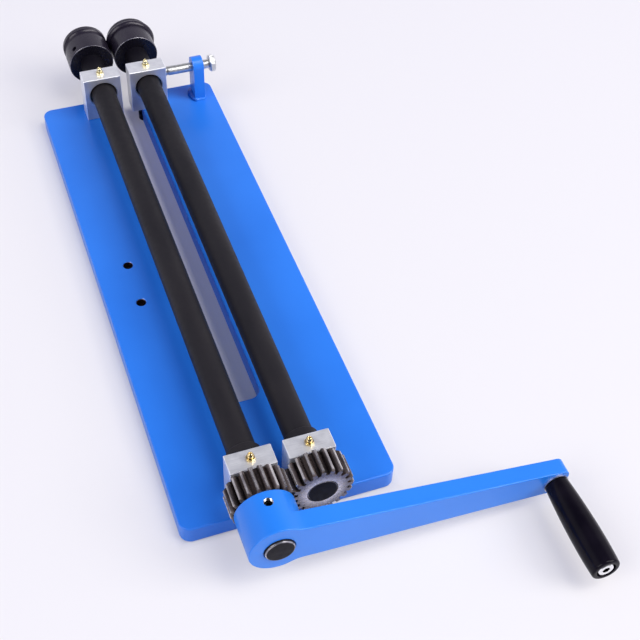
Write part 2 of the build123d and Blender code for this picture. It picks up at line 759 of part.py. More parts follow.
def main():
    """Builds every node in its place."""
    os.makedirs("parts", exist_ok=True)
    fixed_top = screw_top(screw_head_height, screw_length)
    guide_top = screw_top(guide_head_height, guide_screw_length)
    near_low, near_high, far_low, far_high = fixed_screw_places()
    slide_lift = slide_head_clearance - slide_gap
    slide_top = guide_top + slide_lift

    write("base_plate", base_plate())
    write("adjuster_lug", adjuster_lug())
    write("lug_weld", lug_weld())
    near_holes = [(near_low[0], screw_diameter, fixed_top), (near_high[0], screw_diameter, fixed_top)]
    far_holes = [(far_low[0], screw_diameter, fixed_top), (far_high[0], screw_diameter, fixed_top)]
    write("near_fixed_block", bearing_block(lower_x, near_block_y, 0, near_holes))
    write("far_fixed_block", bearing_block(lower_x, far_block_y, 0, far_holes))
    pivot_holes = [(upper_x, guide_screw_diameter, guide_top)]
    slide_holes = [(slide_x, guide_screw_diameter, slide_top)]
    write("near_pivot_block", bearing_block(upper_x, near_block_y, slide_gap, pivot_holes))
    write("far_sliding_block", bearing_block(upper_x, far_block_y, slide_gap, slide_holes))
    write("pivot_screw", guide_screw(upper_x, near_block_y, 0))
    write("slide_screw", guide_screw(slide_x, far_block_y, slide_lift))
    write("near_screw_left", fixed_screw(*near_low))
    write("near_screw_right", fixed_screw(*near_high))
    write("far_screw_left", fixed_screw(*far_low))
    write("far_screw_right", fixed_screw(*far_high))
    for name, x, y in (
        ("near_fixed", lower_x, near_block_y),
        ("far_fixed", lower_x, far_block_y),
        ("near_pivot", upper_x, near_block_y),
        ("far_sliding", upper_x, far_block_y),
    ):
        write(f"{name}_bush", bush(x, y))
        write(f"{name}_nipple", nipple(x, y))

    shaft_radius = shaft_diameter / 2
    spigot_radius = die_bore_diameter / 2
    gear_mid_y = (gear_front_y + gear_back_y) / 2
    lower_gear_angle = lower_gear_screw_angle
    upper_gear_angle = lower_gear_screw_angle + degrees(pi / gear_teeth)
    collar_dimple = (collar_mid_y, collar_screw_diameter, shaft_radius, collar_screw_angle)
    write("lower_shaft", shaft(hub_front_y - lower_shaft_nose, lower_x, [
        collar_dimple,
        (gear_mid_y, small_set_diameter, shaft_radius, lower_gear_angle),
        (hub_screw_y, large_set_diameter, shaft_radius, hub_screw_angle),
        (die_screw_y, small_set_diameter, spigot_radius, lower_die_screw_angle),
    ]))
    write("upper_shaft", shaft(gear_front_y - upper_shaft_nose, upper_x, [
        collar_dimple,
        (gear_mid_y, small_set_diameter, shaft_radius, upper_gear_angle),
        (die_screw_y, small_set_diameter, spigot_radius, upper_die_screw_angle),
    ]))
    write("lower_collar", collar(lower_x))
    write("upper_collar", collar(upper_x))
    write("lower_collar_screw", collar_set(lower_x))
    write("upper_collar_screw", collar_set(upper_x))
    tooth_step = degrees(2 * pi / gear_teeth)
    write("lower_gear", spur_gear(lower_x, tooth_step / 2, lower_gear_angle))
    write("upper_gear", spur_gear(upper_x, 0, upper_gear_angle))
    write("lower_gear_screw", small_set(lower_x, gear_mid_y, shaft_radius, lower_gear_angle))
    write("upper_gear_screw", small_set(upper_x, gear_mid_y, shaft_radius, upper_gear_angle))
    write("lower_die", lower_die())
    write("upper_die", upper_die())
    write("lower_die_screw", small_set(lower_x, die_screw_y, spigot_radius, lower_die_screw_angle))
    write("upper_die_screw", small_set(upper_x, die_screw_y, spigot_radius, upper_die_screw_angle))
    write("crank_arm", crank_arm())
    write("hub_screw", hub_set())
    write("grip_spindle", grip_spindle())
    write("grip_washer", grip_washer())
    write("handle_grip", handle_grip())
    write("adjuster_screw", adjuster_screw())
    write("thrust_tip", thrust_tip())
    tilt = degrees(asin(opening_travel / (far_block_y - near_block_y)))
    print(f"shaft axes x {lower_x:.2f} and {upper_x:.2f}, z {axis_z:.2f}")
    print(f"pivot ({upper_x:.2f}, {near_block_y:.2f}), full tilt {tilt:.4f} deg")
    turns = opening_travel / adjuster_pitch
    print(f"adjuster x {tip_face_x:.2f} y {far_block_y:.2f} z {adjuster_z:.2f}, turns {turns:.3f}")
    print(f"grip axis x {handle_x:.2f} z {handle_z:.2f}, y {grip_end_y:.2f} to {grip_start_y:.2f}")
    print(f"dies y {die_near_y:.2f} to {die_far_y:.2f}, hub front y {hub_front_y:.2f}")


lower_gear_screw_angle = -90.0

if __name__ == "__main__":
    main()
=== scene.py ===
# %% [markdown]
# A bead roller on a pale studio floor. The machine is a thick painted plate with an open throat, two steel
# shafts in aluminium blocks, a pair of gears, a crank and two dies. The exact solids come from the packed
# frame, so this lesson adds what a solid alone doesn't have: surfaces, edges that catch the light, a real
# thread, and the lights and camera of the picture.

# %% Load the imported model
import json
from math import pi, radians, tau

import bmesh
import bpy
import numpy as np
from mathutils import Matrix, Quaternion, Vector


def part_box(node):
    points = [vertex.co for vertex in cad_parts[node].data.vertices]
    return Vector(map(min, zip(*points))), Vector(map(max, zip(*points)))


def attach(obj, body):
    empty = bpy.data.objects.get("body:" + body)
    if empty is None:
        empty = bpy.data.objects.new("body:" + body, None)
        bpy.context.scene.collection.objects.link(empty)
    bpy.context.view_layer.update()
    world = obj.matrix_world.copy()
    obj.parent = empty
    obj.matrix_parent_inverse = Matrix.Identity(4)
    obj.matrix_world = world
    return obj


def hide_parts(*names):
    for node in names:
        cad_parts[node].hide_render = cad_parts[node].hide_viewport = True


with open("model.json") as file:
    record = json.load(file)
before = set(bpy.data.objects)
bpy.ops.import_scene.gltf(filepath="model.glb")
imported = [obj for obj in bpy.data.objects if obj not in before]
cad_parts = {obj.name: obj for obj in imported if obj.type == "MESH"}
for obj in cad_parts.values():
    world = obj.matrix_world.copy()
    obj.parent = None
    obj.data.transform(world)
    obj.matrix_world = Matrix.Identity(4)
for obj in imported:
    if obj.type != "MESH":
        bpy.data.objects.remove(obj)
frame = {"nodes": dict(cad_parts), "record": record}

MM = 0.001
bpy.context.view_layer.update()

# %% [markdown]
# The camera stands in front of the crank end, above and to the left, and looks down at the plate. It could
# be placed by eye, but then no edge would quite agree with the picture, so its place was worked out from
# the plate's corners. Three values fix it: where it stands, the point on the plate's top that sits in the
# middle of the picture, and a small roll about its line of sight.

# %% Camera
camera_place = Vector((-199.48, -815.06, 870.76)) * MM
camera_aim = Vector((90.93, -100.50, 18.50)) * MM
camera_roll = radians(3.079)
camera_lens = 68.77
camera_sensor = 36.0
camera_near = 10 * MM

camera = bpy.data.objects.new("camera", bpy.data.cameras.new("camera"))
camera.data.lens = camera_lens
camera.data.sensor_width = camera_sensor
camera.data.clip_start = camera_near
camera.location = camera_place
camera.rotation_mode = "QUATERNION"
level = (camera_aim - camera_place).to_track_quat("-Z", "Y")
camera.rotation_quaternion = level @ Quaternion((0, 0, 1), camera_roll)
bpy.context.scene.collection.objects.link(camera)
bpy.context.scene.camera = camera
bpy.context.scene.view_settings.view_transform = "Standard"
print("camera is", round((camera_aim - camera_place).length, 3), "m from the plate")

# %% [markdown]
# Every material here is a small node tree. Trees could be drawn by hand in the editor, but a script can
# repeat them exactly. To keep the cells short, one helper makes a new material or world with its main
# shader, adds nodes and joins them, so that a cell reads like a list of steps.


# %% A small tool for node trees
class Tree:
    """Adds nodes to a new material or world and links them."""

    def __init__(self, name, owners=bpy.data.materials):
        self.owner = owners.new(name)
        self.owner.use_nodes = True
        self.nodes = self.owner.node_tree.nodes
        self.links = self.owner.node_tree.links
        self.shader = self.nodes.get("Principled BSDF") or self.nodes["Background"]
        self.output = self.nodes.get("Material Output") or self.nodes["World Output"]

    def add(self, kind, **values):
        """A new node; values that name an input set it, and the rest are properties."""
        node = self.nodes.new(kind)
        for key, value in values.items():
            if hasattr(node, key):
                setattr(node, key, value)
            else:
                node.inputs[key.replace("_", " ")].default_value = value
        return node

    def feed(self, socket, value):
        """Links a node's output to an input socket, or sets a plain number or colour on it."""
        if isinstance(value, bpy.types.NodeSocket):
            self.links.new(value, socket)
        else:
            socket.default_value = (*value, 1) if isinstance(value, tuple) else value

    def finish(self, **values):
        """Feeds the main shader's sockets by name and hands back the material."""
        for key, value in values.items():
            self.feed(self.shader.inputs[key.replace("_", " ")], value)
        return self.owner


# %% Patterns
def place_socket(tree, scale=(1, 1, 1), location=(0, 0, 0)):
    """The point on the piece in metres, stretched and moved."""
    where = tree.add("ShaderNodeTexCoord")
    mapping = tree.add("ShaderNodeMapping", Location=location, Scale=scale)
    tree.feed(mapping.inputs["Vector"], where.outputs["Object"])
    return mapping.outputs["Vector"]


def grain(tree, scale, stretch=(1, 1, 1), detail=2.0):
    """Noise with features of about 1/scale metres, drawn out where stretch is small."""
    noise = tree.add("ShaderNodeTexNoise", Scale=scale, Detail=detail)
    tree.feed(noise.inputs["Vector"], place_socket(tree, stretch))
    return noise.outputs["Fac"]


def spread(tree, value, low, high, start=0.3, end=0.7, ease="LINEAR"):
    """Turns a value between start and end into a number between low and high."""
    ranged = tree.add("ShaderNodeMapRange", From_Min=start, From_Max=end, To_Min=low, To_Max=high)
    ranged.interpolation_type = ease
    tree.feed(ranged.inputs["Value"], value)
    return ranged.outputs["Result"]


def mask(tree, value, zero_at=0.3, one_at=0.7, ease="LINEAR"):
    """Zero where the value is at one number, one where it is at another, and between them in proportion."""
    return spread(tree, value, 0.0, 1.0, zero_at, one_at, ease)


def blend(tree, value, first, second):
    """A colour between two, led by a value from zero to one; each end is a colour or a node's output."""
    mix = tree.add("ShaderNodeMix", data_type="RGBA")
    ends = [socket for socket in mix.inputs if socket.type == "RGBA"]
    for socket, given in zip((mix.inputs[0], *ends), (value, first, second)):
        tree.feed(socket, given)
    return [socket for socket in mix.outputs if socket.type == "RGBA"][0]


def raise_surface(tree, value, distance, strength):
    """Lets a value lift the surface by up to a distance in metres."""
    bump = tree.add("ShaderNodeBump", Strength=strength, Distance=distance)
    tree.feed(bump.inputs["Height"], value)
    tree.feed(tree.shader.inputs["Normal"], bump.outputs["Normal"])


# %% [markdown]
# The floor. A product picture is taken on white paper that is lit until it nearly vanishes, but the paper
# still keeps a soft shadow. Plain white paper would need so much light that the machine burned out, so
# this floor is part diffuse paper, which takes the shadows, and part glow, which only the camera and
# mirror-like rays see. Near the plate, except on its left, mirror-like rays see no glow: a painted shade
# in the plate's reflections. Under the plate the glow nearly fades out and the paper takes a darker tint,
# a painted shade, so that the strip that shows through the throat is as dim as it is in the picture. On
# that strip the camera sees a painted light, paler beside the fixed shaft and towards the open end.


# %% Arithmetic for masks
def calculate(tree, operation, first, second=0.0):
    """One step of arithmetic; each value is a number or a node's output."""
    node = tree.add("ShaderNodeMath", operation=operation)
    tree.feed(node.inputs[0], first)
    tree.feed(node.inputs[1], second)
    return node.outputs[0]


def largest(tree, first, *others):
    """The largest of some values."""
    for other in others:
        first = calculate(tree, "MAXIMUM", first, other)
    return first


def product(tree, first, *others):
    """Some values multiplied."""
    for other in others:
        first = calculate(tree, "MULTIPLY", first, other)
    return first


def place_along(tree, axis):
    """The point's place along one axis, in metres."""
    parts = tree.add("ShaderNodeSeparateXYZ")
    tree.feed(parts.inputs[0], place_socket(tree))
    return parts.outputs[axis]


def mix_shaders(tree, share, first, second):
    """Ends a tree in two shaders, mixed by a share."""
    mix = tree.add("ShaderNodeMixShader")
    for socket, given in zip(mix.inputs, (share, first.outputs[0], second.outputs[0])):
        tree.feed(socket, given)
    tree.feed(tree.output.inputs["Surface"], mix.outputs[0])


# %% Floor
floor_tint = (0.940, 0.905, 0.955)
paper_tint = (0.84, 0.80, 0.72)
# Painted shade: the paper's tint under the plate and in the throat, from the closed end to the open end.
shaded_near = (0.78, 0.74, 0.67)
shaded_far = (0.70, 0.66, 0.76)
glow_part = 0.40
glow_strength = 1.0
glow_edge = (-6 * MM, 5 * MM)
mirror_edge = (0.0, 90 * MM)
left_fade = 10 * MM
strip_painted_light = (0.30, 0.097)
strip_edge = (-7 * MM, -1 * MM)
strip_dim = 0.25
throat_from = -170 * MM
floor_half = 6.0
floor_z = -0.3 * MM
plate_low, plate_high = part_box("base_plate")


def beyond_plate(tree):
    """Distance outside the plate's outline: the larger of |x| - half width and |y| - half length."""
    past = []
    for axis, half in (("X", plate_high.x), ("Y", plate_high.y)):
        size = calculate(tree, "ABSOLUTE", place_along(tree, axis))
        past.append(calculate(tree, "SUBTRACT", size, half))
    return largest(tree, *past)


def floor_material():
    """Diffuse paper with a glow for camera, glossy and transmission rays, except under the plate."""
    tree = Tree("studio_paper")
    rays = tree.add("ShaderNodeLightPath")
    across = place_along(tree, "X")
    distance = beyond_plate(tree)
    outside = mask(tree, distance, *glow_edge)
    # Painted shade in reflections: near the plate, except on its left, mirror-like rays see no glow.
    well_outside = mask(tree, distance, *mirror_edge)
    on_left = mask(tree, across, plate_low.x, plate_low.x - left_fade)
    seen = product(tree, rays.outputs["Is Camera Ray"], outside)
    mirrored = product(tree, rays.outputs["Is Glossy Ray"], largest(tree, well_outside, on_left))
    through = product(tree, rays.outputs["Is Transmission Ray"], outside)
    share = product(tree, largest(tree, seen, mirrored, through), glow_part)
    along_throat = mask(tree, place_along(tree, "Y"), throat_from, plate_high.y)
    # Painted light on the strip seen through the throat: a glow for the camera, paler beside the fixed shaft
    # and towards the open end.
    painted_light_beside_shaft = spread(tree, across, *strip_painted_light, *strip_edge)
    strip = product(tree, painted_light_beside_shaft, spread(tree, along_throat, strip_dim, 1.0, 0.0, 1.0))
    share = largest(tree, share, product(tree, rays.outputs["Is Camera Ray"], strip))
    # Painted shade: under the plate the paper takes the darker shaded tint.
    shaded = blend(tree, along_throat, shaded_near, shaded_far)
    paper = tree.add("ShaderNodeBsdfDiffuse")
    tree.feed(paper.inputs["Color"], blend(tree, outside, shaded, paper_tint))
    glow = tree.add("ShaderNodeEmission", Color=(*floor_tint, 1), Strength=glow_strength)
    mix_shaders(tree, share, paper, glow)
    return tree.owner


floor_mesh = bpy.data.meshes.new("floor")
corners = np.array([(-1, -1), (1, -1), (1, 1), (-1, 1)]) * floor_half
floor_mesh.from_pydata([(x, y, floor_z) for x, y in corners], [], [(0, 1, 2, 3)])
floor = bpy.data.objects.new("floor", floor_mesh)
floor_mesh.materials.append(floor_material())
bpy.context.scene.collection.objects.link(floor)
print("floor is", 2 * floor_half, "m square")

# %% [markdown]
# The light. Small lamps would draw hard shadows, so three large soft ones are used: one high on the right,
# which gives the short shadows on the plate, one lower on the right, which gives the broad pale shadow of
# the grip, and one on the left, which fills the faces that the other two miss.

# %% Lamps
lamp_aim = Vector((30, -40, 20)) * MM
lamp_tint = (1.0, 0.985, 0.955)


def area_lamp(name, place, size, power):
    """A square soft lamp that points at the machine."""
    data = bpy.data.lights.new(name, "AREA")
    data.size = size
    data.energy = power
    data.color = lamp_tint
    lamp = bpy.data.objects.new(name, data)
    lamp.location = place
    lamp.rotation_euler = (lamp_aim - Vector(place)).to_track_quat("-Z", "Y").to_euler()
    bpy.context.scene.collection.objects.link(lamp)


area_lamp("high_lamp", (1.80, -1.20, 4.70), 2.3, 100.0)
area_lamp("right_lamp", (4.05, -2.65, 3.30), 2.9, 215.0)
area_lamp("left_lamp", (-3.90, -1.50, 3.45), 3.2, 128.0)

# %% [markdown]
# The room. Behind the machine the white backdrop sweeps up, so the far end mirrors it and looks paler,
# while the near end and the nipples mirror the dark room above and behind the camera. A picture of a room
# could light the scene as well, but the world made here of two parts, room and backdrop, is enough.
# Diffuse rays get a bluer fill in its place, because the shade on the blue plate is deep and cool.

# %% World
room_strength = 0.11
room_tint = (0.95, 0.93, 1.0)
room_fill = 0.52
room_fill_tint = (0.30, 0.41, 1.0)
backdrop_strength = 0.80
backdrop_top = (0.86, 0.54)
backdrop_front = (-0.35, 0.15)

sky = Tree("studio", bpy.data.worlds)
bpy.context.scene.world = sky.owner
direction = sky.add("ShaderNodeSeparateXYZ")
sky.feed(direction.inputs[0], sky.add("ShaderNodeTexCoord").outputs["Generated"])
below_top = mask(sky, direction.outputs["Z"], *backdrop_top, "SMOOTHSTEP")
behind = mask(sky, direction.outputs["Y"], *backdrop_front, "SMOOTHSTEP")
lit = product(sky, below_top, behind)
sky.finish(Color=room_tint, Strength=spread(sky, lit, room_strength, backdrop_strength, 0.0, 1.0))
fill = sky.add("ShaderNodeBackground", Color=(*room_fill_tint, 1), Strength=room_fill)
rays = sky.add("ShaderNodeLightPath")
mix_shaders(sky, rays.outputs["Is Diffuse Ray"], sky.shader, fill)
print("world:", sky.owner.name, "with", len(sky.nodes), "nodes")

# %% [markdown]
# New pieces are surfaces. A surface is a grid of points, computed in one go as a numpy array with one row
# for each step of the profile and one column for each step around. Joining neighbours gives the quads. A
# row that has shrunk to a point, such as the middle of an end face, is merged, so that the mesh is closed.

# %% From a grid of points to a mesh
crease = 32.0
merge_within = 1e-7
empty_below = 1e-8


def full_turn(steps):
    """Angles spaced evenly round a circle."""
    return np.linspace(0, tau, steps, endpoint=False)


def gather(*coordinates):
    """Points from their coordinates, each of them repeated until all have one shape."""
    return np.stack(np.broadcast_arrays(*coordinates), -1)


def quads(rows, columns, loop_rows):
    """Corner numbers of every cell of a grid that closes round its columns, and may close its rows."""
    i, j = np.meshgrid(np.arange(rows if loop_rows else rows - 1), np.arange(columns), indexing="ij")
    i, j = i.ravel(), j.ravel()
    down, right = (i + 1) % rows, (j + 1) % columns
    return np.stack([i * columns + j, i * columns + right, down * columns + right, down * columns + j], 1)


def surface(name, points, loop_rows=False, sharp=crease):
    """A closed smooth-shaded mesh from a grid of points, with creases above an angle in degrees."""
    rows, columns = points.shape[:2]
    faces = quads(rows, columns, loop_rows)
    mesh = bpy.data.meshes.new(name)
    mesh.from_pydata(points.reshape(-1, 3).tolist(), [], faces.tolist())
    tidy = bmesh.new()
    tidy.from_mesh(mesh)
    bmesh.ops.remove_doubles(tidy, verts=tidy.verts, dist=merge_within)
    bmesh.ops.dissolve_degenerate(tidy, edges=tidy.edges, dist=empty_below)
    bmesh.ops.recalc_face_normals(tidy, faces=tidy.faces)
    tidy.to_mesh(mesh)
    tidy.free()
    mesh.polygons.foreach_set("use_smooth", np.ones(len(mesh.polygons), bool))
    mesh.set_sharp_from_angle(angle=radians(sharp))
    piece = bpy.data.objects.new(name, mesh)
    bpy.context.scene.collection.objects.link(piece)
    return piece


def settle(piece, material, body, slot, *nodes):
    """Gives a piece its material and its body, and lets it stand for CAD nodes."""
    piece.data.materials.clear()
    piece.data.materials.append(material)
    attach(piece, body)
    if nodes:
        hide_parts(*nodes)
    print(piece.name, len(piece.data.polygons), "faces")
    return piece


# %% [markdown]
# Turned pieces start as a profile: distance from the axis, and distance along it. Real turned edges are
# never perfectly sharp, and that small rounding is what catches the light. A bevel modifier could round
# them, but an arc in the profile costs fewer faces and can differ from corner to corner.


# %% Profiles with rounded corners
def soften(corners, steps=6):
    """Replaces each corner (radius from the axis, place along it, rounding) by an arc of points.

    The arc starts and ends where a circle of that radius touches both sides, and its points are the corner's
    two tangent points blended along a quadratic curve, which is close to the circle for small roundings.
    """
    corners = np.array(corners, float)
    places, rounding = corners[:, :2], corners[:, 2]
    out = [places[:1]]
    share = np.linspace(0, 1, steps + 1)[:, None]
    for before, here, after, radius in zip(places[:-2], places[1:-1], places[2:], rounding[1:-1]):
        if radius <= 0:
            out.append(here[None])
            continue
        back, on = before - here, after - here
        back_unit, on_unit = back / np.linalg.norm(back), on / np.linalg.norm(on)
        half = np.arccos(np.clip(back_unit @ on_unit, -1, 1)) / 2
        reach = radius / np.tan(half)
        start, end = here + back_unit * reach, here + on_unit * reach
        out.append((1 - share) ** 2 * start + 2 * share * (1 - share) * here + share**2 * end)
    out.append(places[-1:])
    return np.concatenate(out)


def turned(profile, x, z, around=96):
    """Carries a profile round a line along Y: point = (x + r cos a, y, z + r sin a)."""
    radius, along = profile[:, 0, None], profile[:, 1, None]
    angle = full_turn(around)
    return gather(x + radius * np.cos(angle), along, z + radius * np.sin(angle)) * MM


def extent(node):
    """The lowest corner, the highest corner and the middle of a CAD node's box, in millimetres."""
    low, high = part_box(node)
    return low / MM, high / MM, (low + high) / 2 / MM


# %% [markdown]
# Set screw holes are cut with a Boolean. Left live, it would have to be worked out again at every change,
# so its result is applied at once and no modifier stays on the piece.


# %% Drilling
def stand_along(points, place, direction):
    """Turns points made along Z so that they stand along a direction at a place, in metres."""
    turn = np.array(Vector(direction).normalized().to_track_quat("Z", "Y").to_matrix())
    return (points @ turn.T + np.array(place)) * MM


def rod(radius, length, sides=32):
    """Rows of a closed cylinder along Z, in millimetres."""
    angle = full_turn(sides)
    ring = gather(radius * np.cos(angle), radius * np.sin(angle), 0)
    return np.array([ring * 0, ring, ring + (0, 0, length), ring * 0 + (0, 0, length)])


def screw_hole(piece, start, angle, radius, length):
    """Cuts a round hole into a closed piece, from a point on its axis outwards at an angle."""
    cutter = surface("cutter", stand_along(rod(radius, length), start, (np.cos(angle), 0, np.sin(angle))))
    cut = piece.modifiers.new("cut", "BOOLEAN")
    cut.operation = "DIFFERENCE"
    cut.solver = "EXACT"
    cut.object = cutter
    graph = bpy.context.evaluated_depsgraph_get()
    graph.update()
    mesh = bpy.data.meshes.new_from_object(piece.evaluated_get(graph))
    piece.modifiers.clear()
    piece.data = mesh
    mesh.set_sharp_from_angle(angle=radians(crease))
    bpy.data.objects.remove(cutter)


# %% [markdown]
# The blue is a thick enamel with a very shallow waviness and a hardly visible drift in tone. On the crank
# it is glossy: a clear layer mirrors the white floor and turns the upright faces paler. The plate was
# painted flat and less glossy, so its edges stay deep blue. The two stand holes were drilled through the
# paint, so their walls are bare, dark steel. On the side of the shafts the weld is painted a darker blue,
# a painted shadow of the lug. One function makes all three enamels, because they differ only in a few
# values.

# %% Blue enamel
plate_blues = ((0.020, 0.196, 0.715), (0.027, 0.226, 0.785))
crank_blues = ((0.016, 0.203, 0.700), (0.022, 0.228, 0.770))
painted_shade_blue = (0.002, 0.095, 0.480)
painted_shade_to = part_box("adjuster_lug")[0].x + 1 * MM
painted_shade_fade = 2 * MM
drilled_steel = (0.24, 0.17, 0.17)
enamel_rough = (0.30, 0.38)
coat_rough = 0.14
stand = [mount for mount in frame["record"]["mounts"] if mount["name"] == "stand_holes"][0]
hole_gap = stand["dims"]["spacing_y_mm"] / 2 * MM
hole_wall = (stand["dims"]["hole_r_mm"] + 0.1) * MM
paint_edge = 0.1 * MM
stand_holes = [(stand["pos_m"][0], stand["pos_m"][1] + side * hole_gap) for side in (-1, 1)]


def distance_from(tree, place, across):
    """Distance from a line through a place; across is one where distance counts and zero along the line."""
    length = tree.add("ShaderNodeVectorMath", operation="LENGTH")
    back = [-value * counts for value, counts in zip(place, across)]
    tree.feed(length.inputs[0], place_socket(tree, across, back))
    return length.outputs["Value"]


def blue_enamel(name, blues, specular, coat, holes=(), painted_shade=False):
    """Enamel that drifts between two blues, with bare steel inside upright holes, and if asked a painted
    shade on one side.
    """
    tree = Tree(name)
    colour = blend(tree, mask(tree, grain(tree, 9.0, detail=3.0)), *blues)
    if painted_shade:
        # Painted shade: the weld is darker on the side of the shafts, where the lug's shadow falls.
        in_painted_shade = mask(tree, place_along(tree, "X"), painted_shade_to, painted_shade_to - painted_shade_fade)
        colour = blend(tree, in_painted_shade, colour, painted_shade_blue)
    if holes:
        reaches = [distance_from(tree, (x, y, 0), (1, 1, 0)) for x, y in holes]
        bare = largest(tree, *[mask(tree, reach, hole_wall + paint_edge, hole_wall) for reach in reaches])
        colour = blend(tree, bare, colour, drilled_steel)
        tree.finish(Metallic=bare)
    raise_surface(tree, grain(tree, 500.0, detail=0.0), 0.03 * MM, 0.3)
    return tree.finish(
        Base_Color=colour,
        Roughness=spread(tree, grain(tree, 30.0, detail=3.0), *enamel_rough),
        Specular_IOR_Level=specular,
        Coat_Weight=coat,
        Coat_Roughness=coat_rough,
    )


plate_enamel = blue_enamel("plate_enamel", plate_blues, 0.40, 0.15, holes=stand_holes)
crank_enamel = blue_enamel("crank_enamel", crank_blues, 0.36, 0.28)
weld_enamel = blue_enamel("weld_enamel", plate_blues, 0.40, 0.15, painted_shade=True)
print("made", plate_enamel.name, crank_enamel.name, weld_enamel.name)

# %% [markdown]
# The bearing blocks are milled aluminium, pale and satin. The cutter leaves fine parallel marks: along X
# on the tops, and up and down on the upright faces. A picture of milled metal would need unwrapping on
# every block, but noise that is drawn out one way needs none: the normal of the face picks which marks it
# gets. The slanted cut edges are paler, pale cut metal with a painted highlight on it. The far blocks
# are painted a little paler, a painted light, and their fronts darker, a painted shade.

# %% Milled aluminium
aluminium_tones = ((0.71, 0.71, 0.71), (0.96, 0.96, 0.95))
# Painted light: the far blocks get paler tones than the near ones.
far_painted_paler_tones = ((0.74, 0.74, 0.75), (0.97, 0.97, 0.96))
cut_edge_and_highlight = (0.98, 0.98, 0.99)
painted_front_shade = (0.34, 0.32, 0.35)
aluminium_rough = (0.30, 0.46)
aluminium_metal = 0.70
patch_share = 0.45
marks_fine, marks_long = 2600, 60


def facing(tree, axis):
    """How squarely the surface looks along an axis, either way: the size of that part of its normal."""
    parts = tree.add("ShaderNodeSeparateXYZ")
    tree.feed(parts.inputs[0], tree.add("ShaderNodeTexCoord").outputs["Normal"])
    return calculate(tree, "ABSOLUTE", parts.outputs[axis])


def mix_values(tree, share, first, second):
    """A value between two, led by a share from zero to one."""
    mix = tree.add("ShaderNodeMix", data_type="FLOAT")
    for index, given in ((0, share), (2, first), (3, second)):
        tree.feed(mix.inputs[index], given)
    return mix.outputs[0]


def milled_aluminium(name, tones, front_shade):
    """Satin aluminium: marks that follow each face, cut edges with a painted highlight and, if asked, fronts
    with a painted shade.
    """
    tree = Tree(name)
    sizes = [facing(tree, axis) for axis in "XYZ"]
    # Pale cut metal with a painted highlight: the slanted edges get a paler colour below.
    slanted = mask(tree, largest(tree, *sizes), 0.95, 0.85)
    side_marks = grain(tree, 1.0, (marks_fine, marks_fine, marks_long), 3.0)
    top_marks = grain(tree, 1.0, (marks_long, marks_fine, marks_fine), 3.0)
    marks = mix_values(tree, sizes[2], side_marks, top_marks)
    tone = mix_values(tree, patch_share, marks, grain(tree, 130.0, detail=4.0))
    colour = blend(tree, mask(tree, tone), *tones)
    if front_shade:
        # Painted shade: faces that look along Y, the fronts and backs, are darkened.
        front = spread(tree, sizes[1], 0.0, front_shade, 0.9, 0.97)
        colour = blend(tree, front, colour, painted_front_shade)
    raise_surface(tree, marks, 0.02 * MM, 0.5)
    return tree.finish(
        Base_Color=blend(tree, slanted, colour, cut_edge_and_highlight),
        Roughness=spread(tree, tone, *aluminium_rough),
        Metallic=aluminium_metal,
    )


aluminium = milled_aluminium("milled_aluminium", aluminium_tones, 0.0)
# A copy of the aluminium with painted light and painted shade, for the far blocks.
far_aluminium_painted_light_and_shade = milled_aluminium("far_aluminium_painted_light_and_shade", far_painted_paler_tones, 0.45)
print("made", aluminium.name, far_aluminium_painted_light_and_shade.name)

# %% [markdown]
# The shafts, collars and dies are blackened steel: nearly black, a little warm, satin on the shafts and
# smoother on the dies. Turning leaves fine rings, so the noise is drawn out around the shaft and fine
# along it. The end faces are darker than the turned sides, and on the shafts the same dark is painted
# past the far blocks, a painted shade where the shaft runs between the blocks and the dies. Where hands
# and sheets rub, the rounded edges are bright again. Wear could be painted by hand, but an edge is also
# where the normal leans, so the normal finds it on every piece at once.

# %% Blackened steel
shaft_tones = ((0.016, 0.0145, 0.017), (0.025, 0.022, 0.023))
die_tones = ((0.014, 0.010, 0.020), (0.022, 0.017, 0.029))
end_and_shade_black = (0.007, 0.006, 0.010)
rubbed_steel = (0.62, 0.60, 0.64)
rubbed_rough = 0.20
black_metal = 0.2
shaft_rough = (0.44, 0.56)
die_rough = (0.24, 0.34)
# Painted shade on the shafts, from the far blocks on towards the dies.
shade_from, shade_to = 0.270, 0.276
shaft_worn_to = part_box("lower_gear")[1].y
die_worn_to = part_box("lower_die")[0].y + 1.5 * MM


def blackened_steel(name, tones, rough, rings, level, wear=0.0, worn_to=0.0, shade_past_blocks=False):
    """Nearly black metal: turning rings along Y, darker ends, and edges rubbed bright up to worn_to."""
    tree = Tree(name)
    drift = mask(tree, grain(tree, 45.0, (1, 0.35, 1), 4.0))
    lean = facing(tree, "Y")
    darker = mask(tree, lean, 0.93, 0.99)
    if shade_past_blocks:
        # Painted shade: from the far blocks on, the shaft takes the darker end colour.
        darker = largest(tree, darker, mask(tree, place_along(tree, "Y"), shade_from, shade_to))
    colour = blend(tree, darker, blend(tree, drift, *tones), end_and_shade_black)
    roughness = spread(tree, grain(tree, 220.0, detail=5.0), *rough)
    metal = black_metal
    if wear:
        past_side = mask(tree, lean, 0.30, 0.55)
        before_end = mask(tree, lean, 0.97, 0.80)
        in_front = mask(tree, place_along(tree, "Y"), worn_to + 1 * MM, worn_to)
        patches = spread(tree, grain(tree, 120.0, detail=4.0), 0.2 * wear, wear, 0.42, 0.60)
        rubbed = product(tree, past_side, before_end, in_front, patches)
        colour = blend(tree, rubbed, colour, rubbed_steel)
        roughness = mix_values(tree, rubbed, roughness, rubbed_rough)
        metal = spread(tree, rubbed, black_metal, 1.0, 0.0, 1.0)
    raise_surface(tree, grain(tree, 1.0, (12, rings, 12), 2.0), 0.02 * MM, 0.5)
    return tree.finish(Base_Color=colour, Roughness=roughness, Metallic=metal, Specular_IOR_Level=level)


